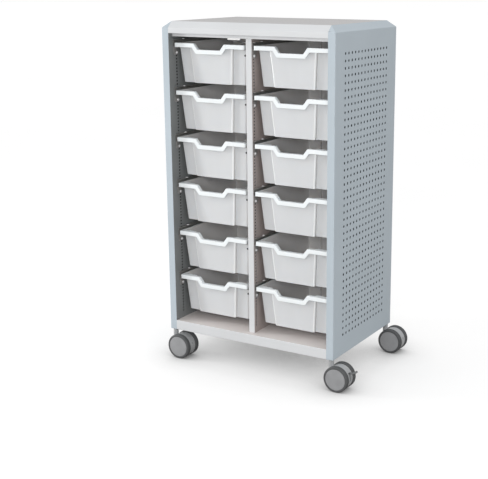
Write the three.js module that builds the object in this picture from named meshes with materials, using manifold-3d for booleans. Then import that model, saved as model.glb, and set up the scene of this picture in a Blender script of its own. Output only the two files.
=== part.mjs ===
// A mobile classroom storage unit: a folded-steel carcass with two bays of deep plastic trays on castors.
// Millimetres. X runs across the front, Y from front to back, Z up from the floor.
// The origin is on the floor, at the middle of the carcass in plan.

import * as THREE from 'three';
import { mergeVertices } from 'three/addons/utils/BufferGeometryUtils.js';
import Module from 'manifold-3d';

// Trays
const TRAY_WIDTH = 312;
const TRAY_LENGTH = 427;
const TRAY_HEIGHT = 150;
const TRAY_WALL = 2.2;
const TRAY_FLOOR = 2.5;
const TRAY_DRAFT = 12.5;
const TUB_CORNER_RADIUS = 7;
const RIM_CORNER_RADIUS = 5;
const RIM_PLATE = 3;
const RIM_LIP_HEIGHT = 16;
const RIM_LIP_WALL = 2.5;
const RIM_SIDE_OVERHANG = 4;
const RIM_END_OVERHANG = 13;
const END_PANEL_WIDTH = 195;
const END_PANEL_STEP = 12;
const DIP_TOP_WIDTH = 136;
const DIP_FLOOR_WIDTH = 101;
const DIP_DEPTH = 22.7;

// Rows of trays, hung on the holes of the liners
const ROW_COUNT = 6;
const HOLE_PITCH = 12;
const ROW_GAP = 30;
const SPARE_HOLE_ROW = 4;

// Runners
const RUNNER_SHEET = 1.5;
const RUNNER_SETBACK = 4;
const RUNNER_END_GAP = 7.5;
const LEDGE_UNDER_RIM = 4.6;
const FLANGE_OVER_RIM = 6;
const RIM_HEADROOM = 10;
const LUG_LENGTH = 28;
const LUG_DROP = 46;

// Carcass
const SHEET = 1.2;
const SIDE_THICKNESS = 29;
const TOP_CHAMFER = 24;
const DIVIDER_WIDTH = 25;
const BAY_CLEARANCE = 8.25;
const TRAY_RECESS = 25.2;
const FRAME_SETBACK = 26;
const TRAY_END_GAP = 10.3;
const BACK_INSET = 37.5;
const HEAD_ROOM = 81;
const FOOT_ROOM = 36.4;
const BASE_HEIGHT = 38.6;
const HEADER_FACE = 20.5;
const HEADER_LIP = 12.5;
const RETURN_DEPTH = 18;
const LINER_FLANGE = 12;
const BACK_FLANGE = 12;

// Catch plate behind the header lip
const CATCH_WIDTH = 54;
const CATCH_OFFSET = 65;
const CATCH_SHOWING = 6;
const CATCH_OVERLAP = 10;
const CATCH_SHEET = 1.5;

// Castors
const WHEEL_RADIUS = 50;
const WHEEL_WIDTH = 20;
const WHEEL_SIDES = 24;
const WHEEL_GAP = 1;
const WHEEL_HEADROOM = 13.4;
const TYRE_WALL = 9.5;
const HUB_CAP_GROOVE = 1.5;
const HUB_CAP_DOME = 1;
const HUB_CAP_THICKNESS = 3;
const TYRE_SHOULDER = 4;
const DRUM_WIDTH = 33;
const DRUM_INSET = 3.5;
const TRAIL = 35;
const NECK_RADIUS = 10;
const STEM_RADIUS = 5;
const STEM_LENGTH = 28;
const STEM_CLEARANCE = 0.4;
const AXLE_RADIUS = 4;
const AXLE_CLEARANCE = 0.4;

// Brake pedals, which turn about the axle in a slot of the drum; angles are in degrees above the horizontal
const PEDAL_ROOT_RADIUS = 24;
const PEDAL_REACH = 27.5;
const PEDAL_WIDTH = 16;
const PEDAL_THICKNESS = 4;
const PEDAL_PAD_LENGTH = 12;
const PEDAL_PAD_FLARE = 1.5;
const PEDAL_ANGLE = 24.6;
const PEDAL_TRAVEL = 31;
const PEDAL_SLOT_MARGIN = 7;
const PEDAL_SLOT_CLEARANCE = 0.5;

// Blind hole in the drum of the castors that have no brake
const BLANK_HOLE_RADIUS = 3.5;
const BLANK_HOLE_DEPTH = 10;
const BLANK_HOLE_ANGLE = 15;

// Gap between pieces that sit against each other
const FIT = 0.3;
// How far a cutting tool runs past the face it cuts
const PAST = 1;
const CORNER_STEPS = 3;
const ROUND_SIDES = 20;

// Sizes that follow from the driving dimensions
const BAY_WIDTH = TRAY_WIDTH + 2 * BAY_CLEARANCE;
const INNER_HALF = BAY_WIDTH + DIVIDER_WIDTH / 2;
const OUTER_HALF = INNER_HALF + SIDE_THICKNESS;
const BAY_CENTRE = (INNER_HALF + DIVIDER_WIDTH / 2) / 2;

const UNIT_DEPTH = TRAY_RECESS + TRAY_LENGTH + TRAY_END_GAP + BACK_INSET;
const FRONT = -UNIT_DEPTH / 2;
const REAR = UNIT_DEPTH / 2;
const RIM_FRONT = FRONT + TRAY_RECESS;
const BACK_FACE = REAR - BACK_INSET;
const FRAME_FRONT = FRONT + FRAME_SETBACK;

const HOLES_PER_ROW = Math.ceil((TRAY_HEIGHT + ROW_GAP) / HOLE_PITCH);
const rowDrop = (row) => HOLE_PITCH * (row * HOLES_PER_ROW + (row >= SPARE_HOLE_ROW ? 1 : 0));

const AXLE_HEIGHT = WHEEL_RADIUS * Math.cos(Math.PI / WHEEL_SIDES);
const PANEL_BOTTOM = AXLE_HEIGHT + WHEEL_RADIUS + WHEEL_HEADROOM;
const BASE_TOP = PANEL_BOTTOM + BASE_HEIGHT;
const LAST_RIM = BASE_TOP + FOOT_ROOM + TRAY_HEIGHT;
const FIRST_RIM = LAST_RIM + rowDrop(ROW_COUNT - 1);
const PANEL_TOP = FIRST_RIM + HEAD_ROOM;
const CHAMFER_FOOT = PANEL_TOP - TOP_CHAMFER;
const HEADER_BOTTOM = CHAMFER_FOOT - HEADER_FACE;
const LIP_BOTTOM = HEADER_BOTTOM - HEADER_LIP;

const STEM_INSET = SIDE_THICKNESS / 2;
const SOCKET_BORE = STEM_RADIUS + STEM_CLEARANCE;
const SOCKET_RADIUS = STEM_INSET - 2 * (SHEET + FIT);
const DRUM_RADIUS = WHEEL_RADIUS - DRUM_INSET;
const HUB_CAP_RADIUS = WHEEL_RADIUS - TYRE_WALL;

const wasm = await Module();
wasm.setup();

// Closed geometry to solid, and back
function solid(geometry) {
  const bare = geometry.clone();
  bare.deleteAttribute('normal');
  bare.deleteAttribute('uv');
  const merged = mergeVertices(bare, 1e-4);
  const corners = merged.index.array;
  const triangles = [];
  for (let i = 0; i < corners.length; i += 3) {
    const [a, b, c] = corners.slice(i, i + 3);
    if (a !== b && b !== c && c !== a) {
      triangles.push(a, b, c);
    }
  }
  return new wasm.Manifold(new wasm.Mesh({
    numProp: 3,
    vertProperties: merged.attributes.position.array,
    triVerts: Uint32Array.from(triangles),
  }));
}

function geometryOf(body) {
  const mesh = body.getMesh();
  const geometry = new THREE.BufferGeometry();
  geometry.setAttribute('position', new THREE.BufferAttribute(mesh.vertProperties, 3));
  geometry.setIndex(new THREE.BufferAttribute(mesh.triVerts, 1));
  geometry.computeVertexNormals();
  return geometry;
}

// Prisms: an outline in the two other axes, from one coordinate to another
function extruded(points, depth) {
  const shape = new THREE.Shape(points.map(([x, y]) => new THREE.Vector2(x, y)));
  return new THREE.ExtrudeGeometry(shape, { depth, bevelEnabled: false });
}

function prismX(points, from, to) {
  const geometry = extruded(points, to - from);
  const alongX = new THREE.Matrix4().makeBasis(
    new THREE.Vector3(0, 1, 0), new THREE.Vector3(0, 0, 1), new THREE.Vector3(1, 0, 0));
  geometry.applyMatrix4(alongX);
  geometry.translate(from, 0, 0);
  return solid(geometry);
}

function prismY(points, from, to) {
  const geometry = extruded(points, to - from);
  geometry.rotateX(Math.PI / 2);
  geometry.translate(0, to, 0);
  return solid(geometry);
}

function prismZ(points, from, to) {
  const geometry = extruded(points, to - from);
  geometry.translate(0, 0, from);
  return solid(geometry);
}

function block(x0, x1, y0, y1, z0, z1) {
  const geometry = new THREE.BoxGeometry(x1 - x0, y1 - y0, z1 - z0);
  geometry.translate((x0 + x1) / 2, (y0 + y1) / 2, (z0 + z1) / 2);
  return solid(geometry);
}

function rodZ(x, y, radius, from, to) {
  const geometry = new THREE.CylinderGeometry(radius, radius, to - from, ROUND_SIDES);
  geometry.rotateX(Math.PI / 2);
  geometry.translate(x, y, (from + to) / 2);
  return solid(geometry);
}

function rodY(x, z, radius, from, to, sides = ROUND_SIDES) {
  const geometry = new THREE.CylinderGeometry(radius, radius, to - from, sides);
  geometry.translate(x, (from + to) / 2, z);
  return solid(geometry);
}

// Outline of a bent sheet: the path is one face, the other lies to its right, or left if thickness is negative
function sheetOutline(path, thickness) {
  const rightOf = (a, b) => new THREE.Vector2(b[1] - a[1], a[0] - b[0]).normalize();
  const otherFace = path.map((point, i) => {
    const before = rightOf(path[Math.max(i, 1) - 1], path[Math.max(i, 1)]);
    const last = Math.min(i, path.length - 2);
    const after = rightOf(path[last], path[last + 1]);
    const mitre = before.clone().add(after).multiplyScalar(thickness / (1 + before.dot(after)));
    return [point[0] + mitre.x, point[1] + mitre.y];
  });
  return [...path, ...otherFace.reverse()];
}

function arc(x, y, radius, fromDegrees, toDegrees, steps) {
  return Array.from({ length: steps + 1 }, (_, i) => {
    const angle = THREE.MathUtils.degToRad(fromDegrees + (toDegrees - fromDegrees) * i / steps);
    return [x + radius * Math.cos(angle), y + radius * Math.sin(angle)];
  });
}

// Repeats the outline of one quarter, listed from the X axis to the Y axis, in the other three
function fourQuarters(quarter) {
  const mirrored = (sx, sy) => quarter.map(([x, y]) => [sx * x, sy * y]);
  return [...quarter, ...mirrored(-1, 1).reverse(), ...mirrored(-1, -1), ...mirrored(1, -1).reverse()];
}

const unit = new THREE.Group();
unit.name = 'tray_storage_unit';

function addPart(parent, name, geometry, finish) {
  const material = new THREE.MeshStandardMaterial(finish);
  const mesh = new THREE.Mesh(geometry, material);
  mesh.name = name;
  parent.add(mesh);
  return mesh;
}

const SIDE_PAINT = { color: 0xa7b1ba, roughness: 0.5, metalness: 0.1 };
const LINER_PAINT = { color: 0x8b918f, roughness: 0.55, metalness: 0.1 };
const WHITE_PAINT = { color: 0xe3e4e2, roughness: 0.45, metalness: 0.1 };
const BACK_PAINT = { color: 0xa09b96, roughness: 0.55, metalness: 0.1 };
const RUNNER_STEEL = { color: 0xa6a39e, roughness: 0.45, metalness: 0.6 };
const TRAY_PLASTIC = { color: 0xe6e8e9, roughness: 0.35, metalness: 0 };
const CATCH_STEEL = { color: 0xf2f2f0, roughness: 0.35, metalness: 0.3 };
const CASTOR_PLASTIC = { color: 0x94989a, roughness: 0.5, metalness: 0 };
const WHEEL_RUBBER = { color: 0x4b4e4e, roughness: 0.7, metalness: 0 };
const PEDAL_PLASTIC = { color: 0x6b6e6f, roughness: 0.55, metalness: 0 };

// Side panels: a hipped block, hollowed from its inner face, with a castor socket in each bottom corner
function sideBlock(inset, overrun) {
  const slope = TOP_CHAMFER / SIDE_THICKNESS;
  const endDrop = inset * Math.SQRT2;
  const sideDrop = inset * Math.hypot(1, slope);
  const bottom = PANEL_BOTTOM + inset;
  const crest = PANEL_TOP + overrun;
  const endRun = TOP_CHAMFER + endDrop + overrun;
  const endShoulder = CHAMFER_FOOT + inset - endDrop;
  const sideView = prismX([
    [FRONT + inset, bottom],
    [REAR - inset, bottom],
    [REAR - inset, endShoulder],
    [REAR - endRun, crest],
    [FRONT + endRun, crest],
    [FRONT + inset, endShoulder],
  ], INNER_HALF - overrun, OUTER_HALF);
  const endView = prismY([
    [INNER_HALF - overrun, bottom],
    [OUTER_HALF - inset, bottom],
    [OUTER_HALF - inset, CHAMFER_FOOT + slope * inset - sideDrop],
    [INNER_HALF - overrun, CHAMFER_FOOT + slope * (SIDE_THICKNESS + overrun) - sideDrop],
  ], FRONT, REAR);
  return sideView.intersect(endView);
}

function rightSidePanel() {
  let panel = sideBlock(0, 0).subtract(sideBlock(SHEET, PAST));
  const x = OUTER_HALF - STEM_INSET;
  const socketTop = PANEL_BOTTOM + STEM_LENGTH;
  for (const y of [FRONT + STEM_INSET, REAR - STEM_INSET]) {
    const socket = rodZ(x, y, SOCKET_RADIUS, PANEL_BOTTOM, socketTop);
    const bore = rodZ(x, y, SOCKET_BORE, PANEL_BOTTOM - PAST, socketTop + PAST);
    panel = panel.add(socket).subtract(bore);
  }
  return panel;
}

// Liner: the inner skin of a side panel, flanged outwards at its front and rear edges
function rightLiner() {
  const seat = SHEET + FIT;
  const flangeEdge = INNER_HALF + LINER_FLANGE;
  const plan = sheetOutline([
    [flangeEdge, FRONT + seat],
    [INNER_HALF, FRONT + seat],
    [INNER_HALF, REAR - seat],
    [flangeEdge, REAR - seat],
  ], SHEET);
  return prismZ(plan, PANEL_BOTTOM + seat, CHAMFER_FOOT - SHEET);
}

function addSides() {
  const panel = geometryOf(rightSidePanel());
  const liner = geometryOf(rightLiner());
  for (const [side, turn] of [['right', 0], ['left', Math.PI]]) {
    const group = new THREE.Group();
    group.rotation.z = turn;
    unit.add(group);
    addPart(group, `${side}_side_panel`, panel, SIDE_PAINT);
    addPart(group, `${side}_liner`, liner, LINER_PAINT);
  }
}

// Top panel: header lip, return, face and chamfer at the front, a chamfer and a return at the rear
function topPanel() {
  const half = INNER_HALF - FIT;
  const section = sheetOutline([
    [FRAME_FRONT, LIP_BOTTOM],
    [FRAME_FRONT, HEADER_BOTTOM],
    [FRONT, HEADER_BOTTOM],
    [FRONT, CHAMFER_FOOT],
    [FRONT + TOP_CHAMFER, PANEL_TOP],
    [REAR - TOP_CHAMFER, PANEL_TOP],
    [REAR, CHAMFER_FOOT],
    [REAR, LIP_BOTTOM],
    [REAR - RETURN_DEPTH, LIP_BOTTOM],
  ], SHEET);
  return prismX(section, -half, half);
}

function basePanel() {
  const half = INNER_HALF - FIT;
  const section = sheetOutline([
    [FRONT + RETURN_DEPTH, PANEL_BOTTOM],
    [FRONT, PANEL_BOTTOM],
    [FRONT, BASE_TOP],
    [REAR, BASE_TOP],
    [REAR, PANEL_BOTTOM],
    [REAR - RETURN_DEPTH, PANEL_BOTTOM],
  ], SHEET);
  return prismX(section, -half, half);
}

function backPanel() {
  const half = INNER_HALF - FIT;
  const flangeEdge = BACK_FACE + BACK_FLANGE;
  const plan = sheetOutline([
    [-half, flangeEdge],
    [-half, BACK_FACE],
    [half, BACK_FACE],
    [half, flangeEdge],
  ], -SHEET);
  return prismZ(plan, BASE_TOP + FIT, PANEL_TOP - SHEET - FIT);
}

// Centre divider: a box section open to the rear, its front face notched to end under the header lip
function centreDivider() {
  const half = DIVIDER_WIDTH / 2;
  const rear = BACK_FACE - FIT;
  const top = PANEL_TOP - SHEET - FIT;
  const plan = sheetOutline([
    [-half, rear],
    [-half, FRAME_FRONT],
    [half, FRAME_FRONT],
    [half, rear],
  ], -SHEET);
  const notch = block(
    -half - PAST, half + PAST,
    FRAME_FRONT - PAST, FRAME_FRONT + SHEET + FIT,
    LIP_BOTTOM - FIT, top + PAST);
  return prismZ(plan, BASE_TOP + FIT, top).subtract(notch);
}

function catchPlate() {
  const y = FRAME_FRONT + SHEET + FIT;
  return block(
    -CATCH_OFFSET - CATCH_WIDTH / 2, -CATCH_OFFSET + CATCH_WIDTH / 2,
    y, y + CATCH_SHEET,
    LIP_BOTTOM - CATCH_SHOWING, LIP_BOTTOM + CATCH_OVERLAP);
}

function addCarcass() {
  addSides();
  addPart(unit, 'top_panel', geometryOf(topPanel()), WHITE_PAINT);
  addPart(unit, 'base_panel', geometryOf(basePanel()), WHITE_PAINT);
  addPart(unit, 'back_panel', geometryOf(backPanel()), BACK_PAINT);
  addPart(unit, 'centre_divider', geometryOf(centreDivider()), WHITE_PAINT);
  addPart(unit, 'catch_plate', geometryOf(catchPlate()), CATCH_STEEL);
}

// Trays, drawn about their middle in plan, with the rim's top at zero height
function tubOutline(inset) {
  const halfX = TRAY_WIDTH / 2 - RIM_SIDE_OVERHANG - inset;
  const panelX = END_PANEL_WIDTH / 2 - inset;
  const panelY = TRAY_LENGTH / 2 - RIM_END_OVERHANG - inset;
  const cornerY = panelY - END_PANEL_STEP;
  const radius = TUB_CORNER_RADIUS - inset;
  return fourQuarters([
    ...arc(halfX - radius, cornerY - radius, radius, 0, 90, CORNER_STEPS),
    [panelX, cornerY],
    [panelX, panelY],
  ]);
}

function rimOutline(inset) {
  const radius = RIM_CORNER_RADIUS - inset;
  const x = TRAY_WIDTH / 2 - inset - radius;
  const y = TRAY_LENGTH / 2 - inset - radius;
  return fourQuarters(arc(x, y, radius, 0, 90, CORNER_STEPS));
}

function draftedTub(inset, from, to) {
  const geometry = extruded(tubOutline(inset), to - from);
  geometry.translate(0, 0, from);
  const position = geometry.attributes.position;
  for (let i = 0; i < position.count; i += 1) {
    const lean = -TRAY_DRAFT * position.getZ(i) / TRAY_HEIGHT;
    const x = position.getX(i);
    const y = position.getY(i);
    position.setXY(i, x - Math.sign(x) * lean, y - Math.sign(y) * lean);
  }
  return solid(geometry);
}

// The rim and the end wall drop in a wide dip, which is the hand hold at either end
function withDip(tray, end) {
  const halfTop = DIP_TOP_WIDTH / 2;
  const halfFloor = DIP_FLOOR_WIDTH / 2;
  const slopes = [[-halfTop, 0], [-halfFloor, -DIP_DEPTH], [halfFloor, -DIP_DEPTH], [halfTop, 0]];
  const path = [[-halfTop - RIM_LIP_HEIGHT, 0], ...slopes, [halfTop + RIM_LIP_HEIGHT, 0]];
  const edge = end * TRAY_LENGTH / 2;
  const wallInside = end * (TRAY_LENGTH / 2 - RIM_END_OVERHANG - TRAY_WALL);
  const across = (outline, a, b) => prismY(outline, Math.min(a, b), Math.max(a, b));
  const opening = across([...slopes, [halfTop, PAST], [-halfTop, PAST]],
    edge + end * PAST, wallInside - end * TRAY_DRAFT);
  const plate = across(sheetOutline(path, RIM_PLATE), edge, wallInside);
  const lip = across(sheetOutline(path, RIM_LIP_HEIGHT), edge, edge - end * RIM_LIP_WALL);
  return tray.subtract(opening).add(plate).add(lip);
}

function tray() {
  const rimCap = prismZ(rimOutline(0), -RIM_LIP_HEIGHT, 0);
  const underRim = prismZ(rimOutline(RIM_LIP_WALL), -RIM_LIP_HEIGHT - PAST, -RIM_PLATE);
  const tub = draftedTub(0, -TRAY_HEIGHT, 0);
  const inside = draftedTub(TRAY_WALL, TRAY_FLOOR - TRAY_HEIGHT, PAST);
  const open = rimCap.subtract(underRim).add(tub).subtract(inside);
  return withDip(withDip(open, -1), 1);
}

// Runner on the wall to the left (-1) or right (1) of a tray: a ledge under the rim, a flange over it and a lug
// for the front screw
function runner(wallSide) {
  const wall = BAY_WIDTH / 2 - FIT;
  const webFace = wall - RUNNER_SHEET;
  const rimEdge = TRAY_WIDTH / 2;
  const ledgeTop = -RIM_LIP_HEIGHT - FIT;
  const front = RUNNER_SETBACK - TRAY_LENGTH / 2;
  const rear = TRAY_LENGTH / 2 + TRAY_END_GAP - RUNNER_END_GAP;
  const path = [
    [rimEdge - FLANGE_OVER_RIM, RIM_HEADROOM],
    [webFace, RIM_HEADROOM],
    [webFace, ledgeTop],
    [rimEdge - LEDGE_UNDER_RIM, ledgeTop],
  ];
  const lug = [[webFace, ledgeTop], [wall, ledgeTop], [wall, -LUG_DROP], [webFace, -LUG_DROP]];
  const onSide = (points) => points.map(([x, z]) => [wallSide * x, z]);
  const rail = prismY(sheetOutline(onSide(path), -wallSide * RUNNER_SHEET), front, rear);
  return rail.add(prismY(onSide(lug), front, front + LUG_LENGTH));
}

function addTrays() {
  const trayShape = geometryOf(tray());
  const leftRunner = geometryOf(runner(-1));
  const rightRunner = geometryOf(runner(1));
  for (const [column, side] of [['left', -1], ['right', 1]]) {
    for (let row = 0; row < ROW_COUNT; row += 1) {
      const cell = new THREE.Group();
      cell.position.set(side * BAY_CENTRE, RIM_FRONT + TRAY_LENGTH / 2, FIRST_RIM - rowDrop(row));
      unit.add(cell);
      const label = `${column}_${row + 1}`;
      addPart(cell, `tray_${label}`, trayShape, TRAY_PLASTIC);
      addPart(cell, `runner_${label}_${side < 0 ? 'outer' : 'inner'}`, leftRunner, RUNNER_STEEL);
      addPart(cell, `runner_${label}_${side < 0 ? 'inner' : 'outer'}`, rightRunner, RUNNER_STEEL);
    }
  }
}

// Castors, drawn about the stem's axis, with the floor at zero height and the wheels trailing to the right
function pedalSlot() {
  const half = PEDAL_WIDTH / 2 + PEDAL_SLOT_CLEARANCE;
  const root = PEDAL_ROOT_RADIUS - FIT;
  const low = PEDAL_ANGLE - PEDAL_TRAVEL - PEDAL_SLOT_MARGIN;
  const high = PEDAL_ANGLE + PEDAL_SLOT_MARGIN;
  const sector = [
    ...arc(TRAIL, AXLE_HEIGHT, root, high, low, CORNER_STEPS),
    ...arc(TRAIL, AXLE_HEIGHT, WHEEL_RADIUS, low, high, CORNER_STEPS),
  ];
  return prismY(sector, -half, half);
}

function blankHole() {
  const length = BLANK_HOLE_DEPTH + DRUM_INSET;
  const drill = new THREE.CylinderGeometry(BLANK_HOLE_RADIUS, BLANK_HOLE_RADIUS, length, ROUND_SIDES);
  drill.rotateZ(-Math.PI / 2);
  drill.translate(WHEEL_RADIUS - length / 2, 0, 0);
  drill.rotateY(-THREE.MathUtils.degToRad(BLANK_HOLE_ANGLE));
  drill.translate(TRAIL, 0, AXLE_HEIGHT);
  return solid(drill);
}

function castorHousing(braked) {
  const half = DRUM_WIDTH / 2;
  const axleHalf = half + WHEEL_GAP + WHEEL_WIDTH - HUB_CAP_THICKNESS - FIT;
  const fullDrum = rodY(TRAIL, AXLE_HEIGHT, DRUM_RADIUS, -half, half, WHEEL_SIDES);
  const drum = fullDrum.subtract(braked ? pedalSlot() : blankHole());
  const neck = rodZ(0, 0, NECK_RADIUS, AXLE_HEIGHT, PANEL_BOTTOM - FIT);
  const stem = rodZ(0, 0, STEM_RADIUS, AXLE_HEIGHT, PANEL_BOTTOM + STEM_LENGTH);
  const axle = rodY(TRAIL, AXLE_HEIGHT, AXLE_RADIUS, -axleHalf, axleHalf);
  return drum.add(neck).add(stem).add(axle);
}

// Wheel with its axle along Y, its inner face at zero and its domed hub cap on the far side
function wheel() {
  const bore = AXLE_RADIUS + AXLE_CLEARANCE;
  const boreEnd = WHEEL_WIDTH - HUB_CAP_THICKNESS;
  const shoulder = WHEEL_RADIUS - TYRE_SHOULDER;
  const grooveFloor = WHEEL_WIDTH - HUB_CAP_GROOVE;
  const profile = [
    [0, boreEnd],
    [bore, boreEnd],
    [bore, 0],
    [shoulder, 0],
    [WHEEL_RADIUS, TYRE_SHOULDER],
    [WHEEL_RADIUS, WHEEL_WIDTH - TYRE_SHOULDER],
    [shoulder, WHEEL_WIDTH],
    [HUB_CAP_RADIUS + HUB_CAP_GROOVE, WHEEL_WIDTH],
    [HUB_CAP_RADIUS, grooveFloor],
    [HUB_CAP_RADIUS - HUB_CAP_GROOVE, WHEEL_WIDTH],
    [0, WHEEL_WIDTH + HUB_CAP_DOME],
  ];
  const points = profile.map(([radius, y]) => new THREE.Vector2(radius, y));
  return solid(new THREE.LatheGeometry(points, WHEEL_SIDES, Math.PI / WHEEL_SIDES));
}

// Pedal lying level, its axle at the origin: a flat lever that thickens to a pad at the tip
function pedal() {
  const tip = WHEEL_RADIUS + PEDAL_REACH;
  const padStart = tip - PEDAL_PAD_LENGTH;
  const half = PEDAL_THICKNESS / 2;
  const padHalf = half + PEDAL_PAD_FLARE;
  const outline = [
    [PEDAL_ROOT_RADIUS, -half],
    [padStart, -half],
    [tip, -padHalf],
    [tip, padHalf],
    [padStart, half],
    [PEDAL_ROOT_RADIUS, half],
  ];
  return prismY(outline, -PEDAL_WIDTH / 2, PEDAL_WIDTH / 2);
}

function addCastors() {
  const wheelShape = geometryOf(wheel());
  const wheelSeat = DRUM_WIDTH / 2 + WHEEL_GAP;
  const plainHousing = geometryOf(castorHousing(false));
  const brakedHousing = geometryOf(castorHousing(true));
  const pedalShape = geometryOf(pedal());
  const stemX = OUTER_HALF - STEM_INSET;
  const stemY = REAR - STEM_INSET;
  for (const [end, ySign] of [['front', -1], ['rear', 1]]) {
    for (const [side, xSign] of [['left', -1], ['right', 1]]) {
      const castor = new THREE.Group();
      castor.position.set(xSign * stemX, ySign * stemY, 0);
      unit.add(castor);
      const braked = xSign !== ySign;
      const label = `${end}_${side}`;
      addPart(castor, `castor_${label}`, braked ? brakedHousing : plainHousing, CASTOR_PLASTIC);
      const nearWheel = addPart(castor, `wheel_${label}_near`, wheelShape, WHEEL_RUBBER);
      nearWheel.position.set(TRAIL, -wheelSeat, AXLE_HEIGHT);
      nearWheel.rotation.z = Math.PI;
      const farWheel = addPart(castor, `wheel_${label}_far`, wheelShape, WHEEL_RUBBER);
      farWheel.position.set(TRAIL, wheelSeat, AXLE_HEIGHT);
      if (braked) {
        const lever = addPart(castor, `brake_pedal_${label}`, pedalShape, PEDAL_PLASTIC);
        lever.position.set(TRAIL, 0, AXLE_HEIGHT);
        lever.rotation.y = -THREE.MathUtils.degToRad(PEDAL_ANGLE);
      }
    }
  }
}

addCarcass();
addTrays();
addCastors();

export default unit;
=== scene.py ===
"""Looks of a mobile classroom storage unit: perforated steel sides, white trays and twin-wheel castors.

Metres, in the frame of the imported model: X runs across the front, Y from front to back, Z up.
"""

import math

import bmesh
import bpy
from mathutils import Matrix, Vector


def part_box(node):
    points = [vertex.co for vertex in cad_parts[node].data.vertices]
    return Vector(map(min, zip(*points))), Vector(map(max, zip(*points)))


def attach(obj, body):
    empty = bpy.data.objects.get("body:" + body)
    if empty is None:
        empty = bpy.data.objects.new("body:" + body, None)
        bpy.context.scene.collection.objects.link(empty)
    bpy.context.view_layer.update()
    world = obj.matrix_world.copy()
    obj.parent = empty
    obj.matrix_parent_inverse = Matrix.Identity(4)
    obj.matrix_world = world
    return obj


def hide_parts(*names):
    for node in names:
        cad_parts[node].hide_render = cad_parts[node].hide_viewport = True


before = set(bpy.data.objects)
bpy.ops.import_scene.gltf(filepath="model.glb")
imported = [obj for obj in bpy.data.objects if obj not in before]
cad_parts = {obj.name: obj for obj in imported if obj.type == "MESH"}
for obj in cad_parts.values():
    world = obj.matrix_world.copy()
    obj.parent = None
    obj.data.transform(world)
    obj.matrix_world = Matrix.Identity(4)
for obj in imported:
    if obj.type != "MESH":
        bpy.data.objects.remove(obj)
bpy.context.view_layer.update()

MM = 0.001
CLOSE = 0.1 * MM
ACROSS, BACKWARDS, UPWARDS = range(3)

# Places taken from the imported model
SIDE_LOW, SIDE_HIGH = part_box("right_side_panel")
FRONT = SIDE_LOW.y
REAR = SIDE_HIGH.y
PANEL_BOTTOM = SIDE_LOW.z
INNER_WALL = SIDE_LOW.x
OUTER_FACE = SIDE_HIGH.x
DIVIDER_LOW, DIVIDER_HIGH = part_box("centre_divider")
BACK_LOW, BACK_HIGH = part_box("back_panel")
TOP_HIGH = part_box("top_panel")[1]

ROWS = range(1, 7)
COLUMNS = {"left": -1, "right": 1}
CASTOR_ENDS = {"front": -1, "rear": 1}

# Folded sheet: faces that lie deeper than SKIN behind the outer one are its inner side
SHEET = 1.2 * MM
SKIN = 0.9 * MM
BEND_RADIUS = 2.0 * MM
BEND_SEGMENTS = 3
ROUND_PROFILE = 0.5
CATCH_CORNER = 2 * MM
DIVIDER_FRONT = 3 * MM
SHELF_LEAST_AREA = 0.1
SMOOTH_ANGLE = math.radians(32)
FLAT_ANGLE = math.radians(1)
# How much of a direction lies along an axis
STRAIGHT = 0.99
LEVEL = 0.999

# Round perforations of the side panels
PERFORATION_DIAMETER = 10.4 * MM
PERFORATION_PITCH = 26 * MM
PERFORATION_COLUMNS = 14
PERFORATION_ROWS = 41
PERFORATION_FRONT = 77.5 * MM
PERFORATION_FOOT = 79 * MM
PERFORATION_DRILL = 6 * MM
DRILL_SIDES = 14

# Columns of runner slots in the liners and the divider
RUNNER_SLOT_HEIGHT = 6 * MM
RUNNER_SLOT_LENGTH = 10 * MM
RUNNER_SLOT_PITCH = 12 * MM
RUNNER_SLOT_ROWS = 90
RUNNER_SLOT_COLUMNS = 2
RUNNER_SLOT_FOOT = 67 * MM
RUNNER_SLOT_SPREAD = 400 * MM
LINER_SLOT_SETBACK = 50 * MM
DIVIDER_SLOT_SETBACK = 42 * MM
LINER_DRILL = 8 * MM
DIVIDER_DRILL = 40 * MM

# Runners
RUNNER_SHEET = 1.5 * MM
LUG_CORNER = 5 * MM
LUG_CORNER_SEGMENTS = 4

# Screws and bolt ends; the recess is in shares of the head's radius
HEAD_SIDES = 20
HEAD_STEPS = 4
RECESS_LENGTH = 0.7
RECESS_WIDTH = 0.18
SCREW_BELOW_RIM = 38 * MM
SCREW_HEAD_DIAMETER = 11 * MM
SCREW_HEAD_HEIGHT = 3 * MM
SCREW_CROWN = 0.75
SCREW_RECESS = 0.45
FLANGE_SCREW_SETBACK = 84 * MM
BOLT_END_DIAMETER = 9 * MM
BOLT_END_LENGTH = 13 * MM
BOLT_END_CROWN = 0.5
BOLT_END_RECESS = 0.1
BACK_SCREW_DIAMETER = 8 * MM
BACK_SCREW_HEIGHT = 2.4 * MM
BACK_SCREW_PITCH = 165 * MM
BACK_SCREW_FOOT = 70 * MM
BACK_SCREW_INSET = 6 * MM
BACK_SCREW_ROWS = range(7)

# Tray moulding, in millimetres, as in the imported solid
TRAY_HALF_WIDTH = 156.0
TRAY_HALF_LENGTH = 213.5
TRAY_HEIGHT = 150.0
TRAY_WALL = 2.2
TRAY_FLOOR = 2.5
TRAY_DRAFT = 12.5
RIM_CORNER = 5.0
RIM_PLATE = 3.0
RIM_LIP = 16.0
RIM_LIP_WALL = 2.5
TUB_HALF_WIDTH = 152.0
TUB_HALF_LENGTH = 200.5
TUB_CORNER = 7.0
TUB_LEAST_CORNER = 3
END_PANEL_HALF = 97.5
END_PANEL_STEP = 12.0
END_PANEL_NOSE = 5.0
END_PANEL_NOSE_STEPS = 5
END_PANEL_COVE = 1.5
END_PANEL_COVE_STEPS = 3
END_PANEL_MARGIN = 2
DIP_HALF_TOP = 68.0
DIP_HALF_FLOOR = 50.5
DIP_DEPTH = 22.7
DIP_EDGE = 88.0
DIP_FILLET = 3.0
DIP_FILLET_STEPS = 5
DIP_FILLET_GAIN = 0.2
DIP_FILLET_LOSS = 0.1
FOOT_FILLET = 3.0
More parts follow.
